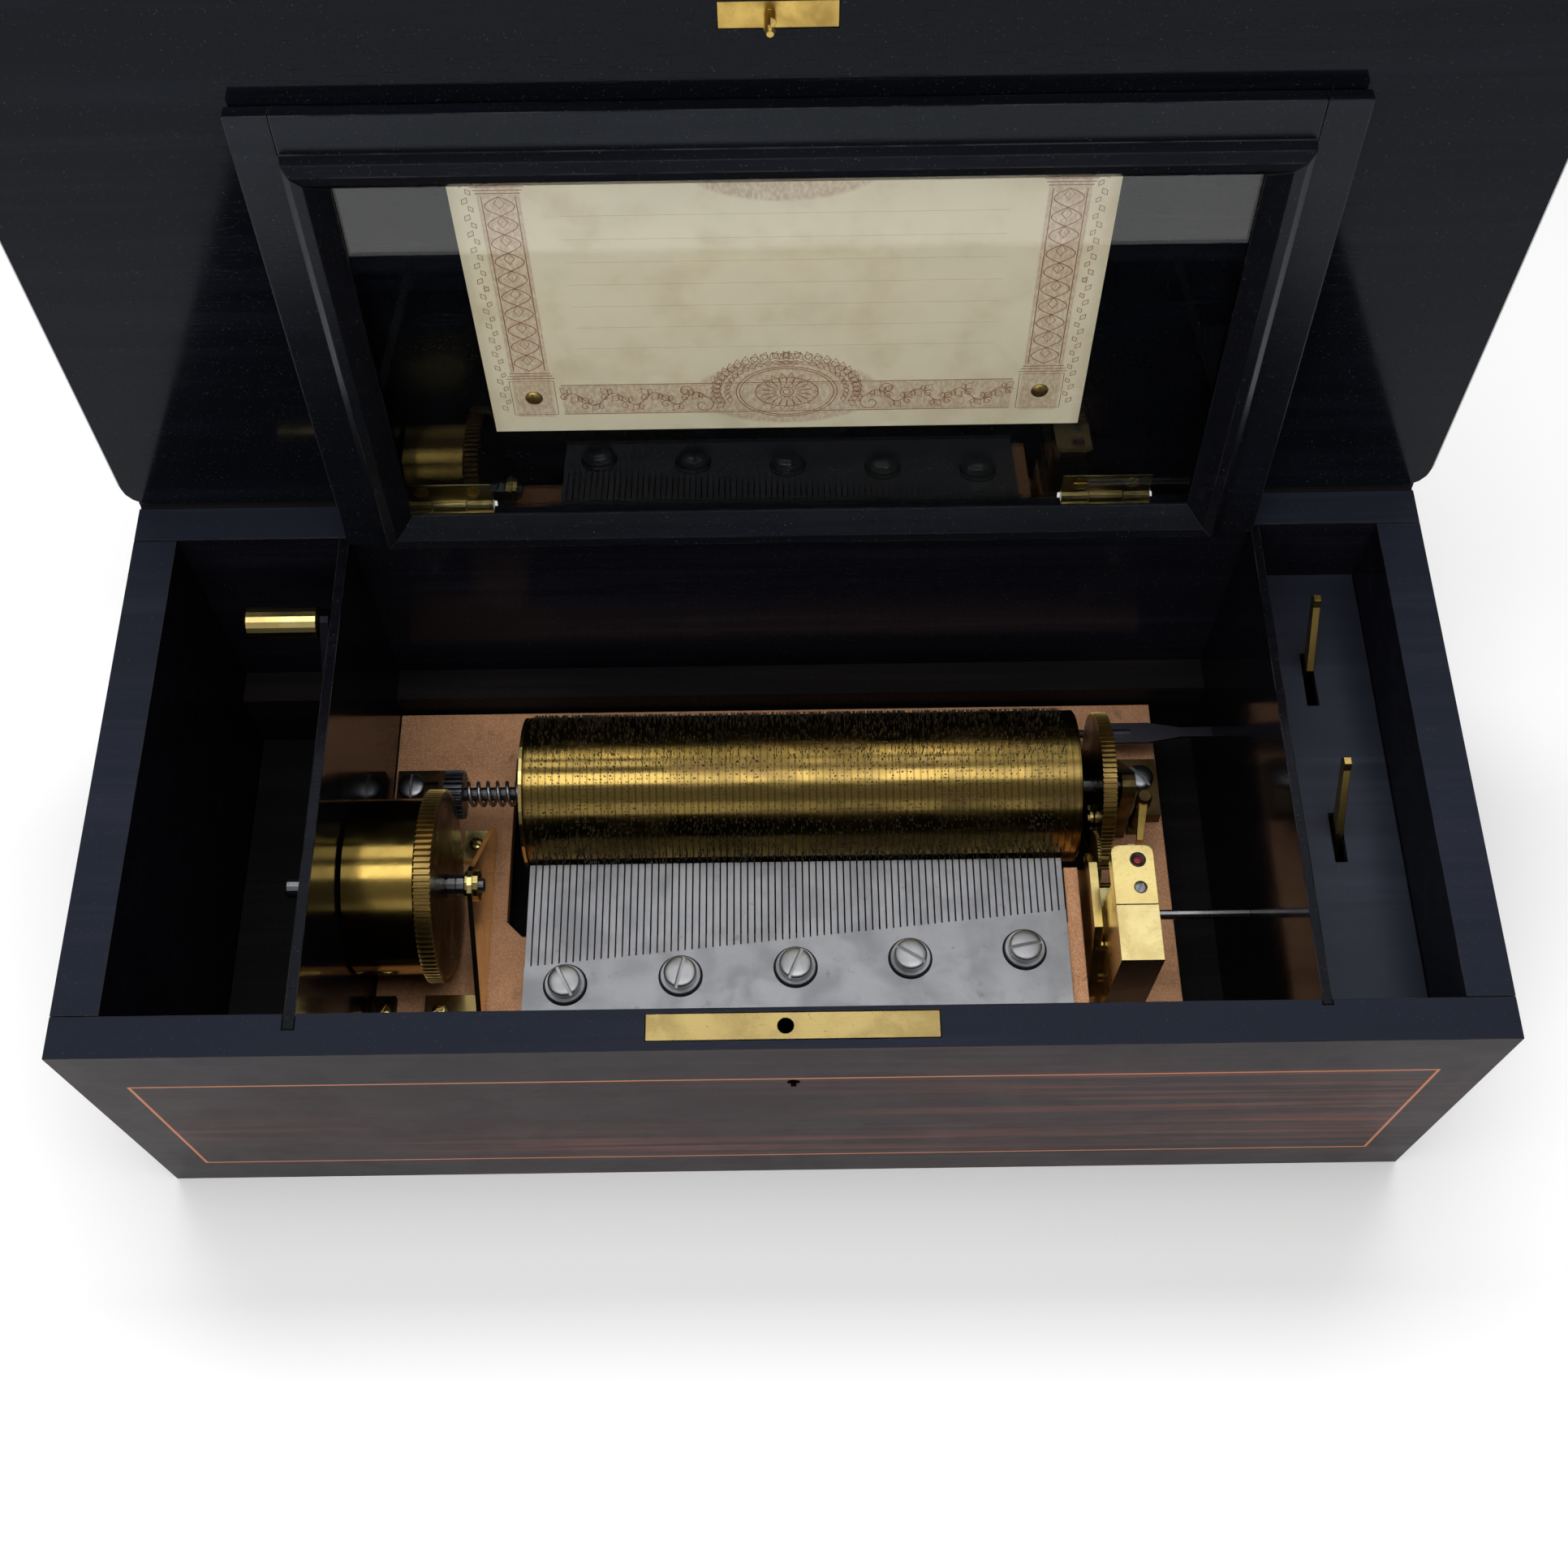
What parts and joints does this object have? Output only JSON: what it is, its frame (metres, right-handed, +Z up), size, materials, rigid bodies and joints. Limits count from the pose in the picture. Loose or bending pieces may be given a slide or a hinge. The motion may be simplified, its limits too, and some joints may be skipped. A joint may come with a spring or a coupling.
{
  "type": "music box",
  "caption": "Lever-wound cylinder music box in a veneered case, with its main lid and glass inner lid standing open over comb, cylinder, spring barrel and governor.",
  "frame": {"origin": "middle of the case's underside, where it stands on a table", "axes": "+X to the right along the case's length, +Y to the back, +Z up"},
  "size_m": [0.46, 0.2415, 0.3449],
  "materials": {
    "rosewood": "figured veneer with an inlaid line, satin varnish",
    "ebonised": "black polished wood, semi-gloss",
    "dark_lining": "plain dark-stained wood, matt",
    "bed_paint": "copper-bronze paint with a fine sandy grain",
    "brass": "polished, lightly toned",
    "old_brass": "dull, tarnished",
    "steel": "polished",
    "blued_steel": "dark, slightly blued",
    "comb_steel": "ground, satin",
    "glass": "clear float glass",
    "card": "cream card with a sepia print, matt"
  },
  "bodies": {
    "barrel": {"barrel_drum": "brass", "barrel_wheel": "old_brass"},
    "case": {"barrel_left_bridge": "old_brass", "barrel_right_bridge": "brass", "bedplate": "bed_paint", "case_back": "rosewood", "case_bottom": "dark_lining", "case_front": "rosewood", "case_left_end": "rosewood", "case_right_end": "rosewood", "comb": "comb_steel", "comb_base": "bed_paint", "comb_screw_1": "steel", "comb_screw_2": "steel", "comb_screw_3": "steel", "comb_screw_4": "steel", "comb_screw_5": "steel", "control_floor": "ebonised", "cylinder_left_bridge": "old_brass", "cylinder_right_bridge": "old_brass", "front_bed_rail": "dark_lining", "governor_block": "brass", "governor_cock": "brass", "governor_side_plate": "brass", "left_bridge_screw": "steel", "left_partition": "ebonised", "lid_hinge_case_leaf_left": "brass", "lid_hinge_case_leaf_right": "brass", "lock": "old_brass", "rear_bed_rail": "dark_lining", "right_bridge_screw": "steel", "right_partition": "ebonised"},
    "change_control": {"change_blade": "steel", "change_lever": "brass"},
    "click": {"winding_click": "steel"},
    "cylinder_arbor": {"cylinder_arbor": "steel", "cylinder_drive_wheel": "old_brass", "cylinder_spring": "steel"},
    "cylinder": {"cylinder_left_cap": "brass", "cylinder_tube": "brass"},
    "first_arbor": {"first_wheel": "brass"},
    "fly": {"governor_fly": "steel"},
    "glass_lid": {"glass_front_rail": "ebonised", "glass_left_stile": "ebonised", "glass_pane": "glass", "glass_rear_rail": "ebonised", "glass_right_stile": "ebonised"},
    "lid": {"lid_hinge_leaf_left": "brass", "lid_hinge_leaf_right": "brass", "lid_link_plate": "old_brass", "lid_panel": "ebonised", "tune_card": "card"},
    "lock_bolt": {"lock_bolt": "old_brass"},
    "second_arbor": {"second_wheel": "brass"},
    "snail": {"tune_snail": "brass"},
    "start_control": {"start_lever": "brass"},
    "stop_arm": {"stop_arm": "brass"},
    "winding_arbor": {"barrel_arbor": "steel"},
    "winding_lever": {"winding_arm": "blued_steel", "winding_grip": "brass"}
  },
  "joints": [
    {"name": "lid_hinge", "type": "hinge", "parent": "case", "child": "lid", "pos_m": [0, 0.1019, 0.13715], "axis": [-1, 0, 0], "range_deg": [-94, 0]},
    {"name": "glass_lid_hinge", "type": "hinge", "parent": "case", "child": "glass_lid", "pos_m": [0, 0.0875, 0.135], "axis": [-1, 0, 0], "range_deg": [-98, 0]},
    {"name": "winding_lever_swing", "type": "hinge", "parent": "case", "child": "winding_lever", "pos_m": [-0.158, -0.0185, 0.07565], "axis": [1, 0, 0], "range_deg": [0, 100]},
    {"name": "winding_click_lift", "type": "hinge", "parent": "winding_lever", "child": "click", "pos_m": [-0.1625, -0.02921, 0.08885], "axis": [1, 0, 0], "range_deg": [0, 8]},
    {"name": "winding_arbor_turn", "type": "hinge", "parent": "case", "child": "winding_arbor", "pos_m": [-0.1749, -0.0185, 0.07565], "axis": [1, 0, 0], "continuous": true},
    {"name": "cylinder_turn", "type": "hinge", "parent": "case", "child": "cylinder_arbor", "pos_m": [-0.1227, 0.0225, 0.066], "axis": [1, 0, 0], "continuous": true},
    {"name": "cylinder_shift", "type": "slide", "parent": "cylinder_arbor", "child": "cylinder", "axis": [1, 0, 0], "range_m": [0, 0.002]},
    {"name": "tune_snail_turn", "type": "hinge", "parent": "cylinder_arbor", "child": "snail", "pos_m": [0.1146, 0.01122, 0.0619], "axis": [1, 0, 0], "continuous": true},
    {"name": "barrel_turn", "type": "hinge", "parent": "case", "child": "barrel", "pos_m": [-0.1491, -0.0185, 0.07565], "axis": [1, 0, 0], "continuous": true},
    {"name": "first_arbor_turn", "type": "hinge", "parent": "case", "child": "first_arbor", "pos_m": [0.1143, -0.00732, 0.066], "axis": [1, 0, 0], "continuous": true},
    {"name": "second_arbor_turn", "type": "hinge", "parent": "case", "child": "second_arbor", "pos_m": [0.1226, -0.013, 0.05529], "axis": [1, 0, 0], "continuous": true},
    {"name": "fly_turn", "type": "hinge", "parent": "case", "child": "fly", "pos_m": [0.1226, -0.0209, 0.036], "axis": [0, 0, 1], "continuous": true},
    {"name": "start_control_swing", "type": "hinge", "parent": "case", "child": "start_control", "pos_m": [0.189, -0.0298, 0.067], "axis": [1, 0, 0], "range_deg": [0, 10]},
    {"name": "stop_arm_swing", "type": "hinge", "parent": "case", "child": "stop_arm", "pos_m": [0.1343, 0.0194, 0.058], "axis": [0, 0, 1], "range_deg": [-8, 0]},
    {"name": "change_control_swing", "type": "hinge", "parent": "case", "child": "change_control", "pos_m": [0.188, 0.0538, 0.048], "axis": [1, 0, 0], "range_deg": [0, 10]},
    {"name": "lock_bolt_slide", "type": "slide", "parent": "case", "child": "lock_bolt", "axis": [1, 0, 0], "range_m": [-0.0025, 0]}
  ],
  "couplings": [
    {"joint": "glass_lid_hinge", "follows": "lid_hinge", "ratio": 1.0425},
    {"joint": "barrel_turn", "follows": "cylinder_turn", "ratio": -0.25},
    {"joint": "first_arbor_turn", "follows": "cylinder_turn", "ratio": -8},
    {"joint": "second_arbor_turn", "follows": "cylinder_turn", "ratio": 40},
    {"joint": "fly_turn", "follows": "cylinder_turn", "ratio": 960},
    {"joint": "stop_arm_swing", "follows": "start_control_swing", "ratio": -0.8}
  ]
}
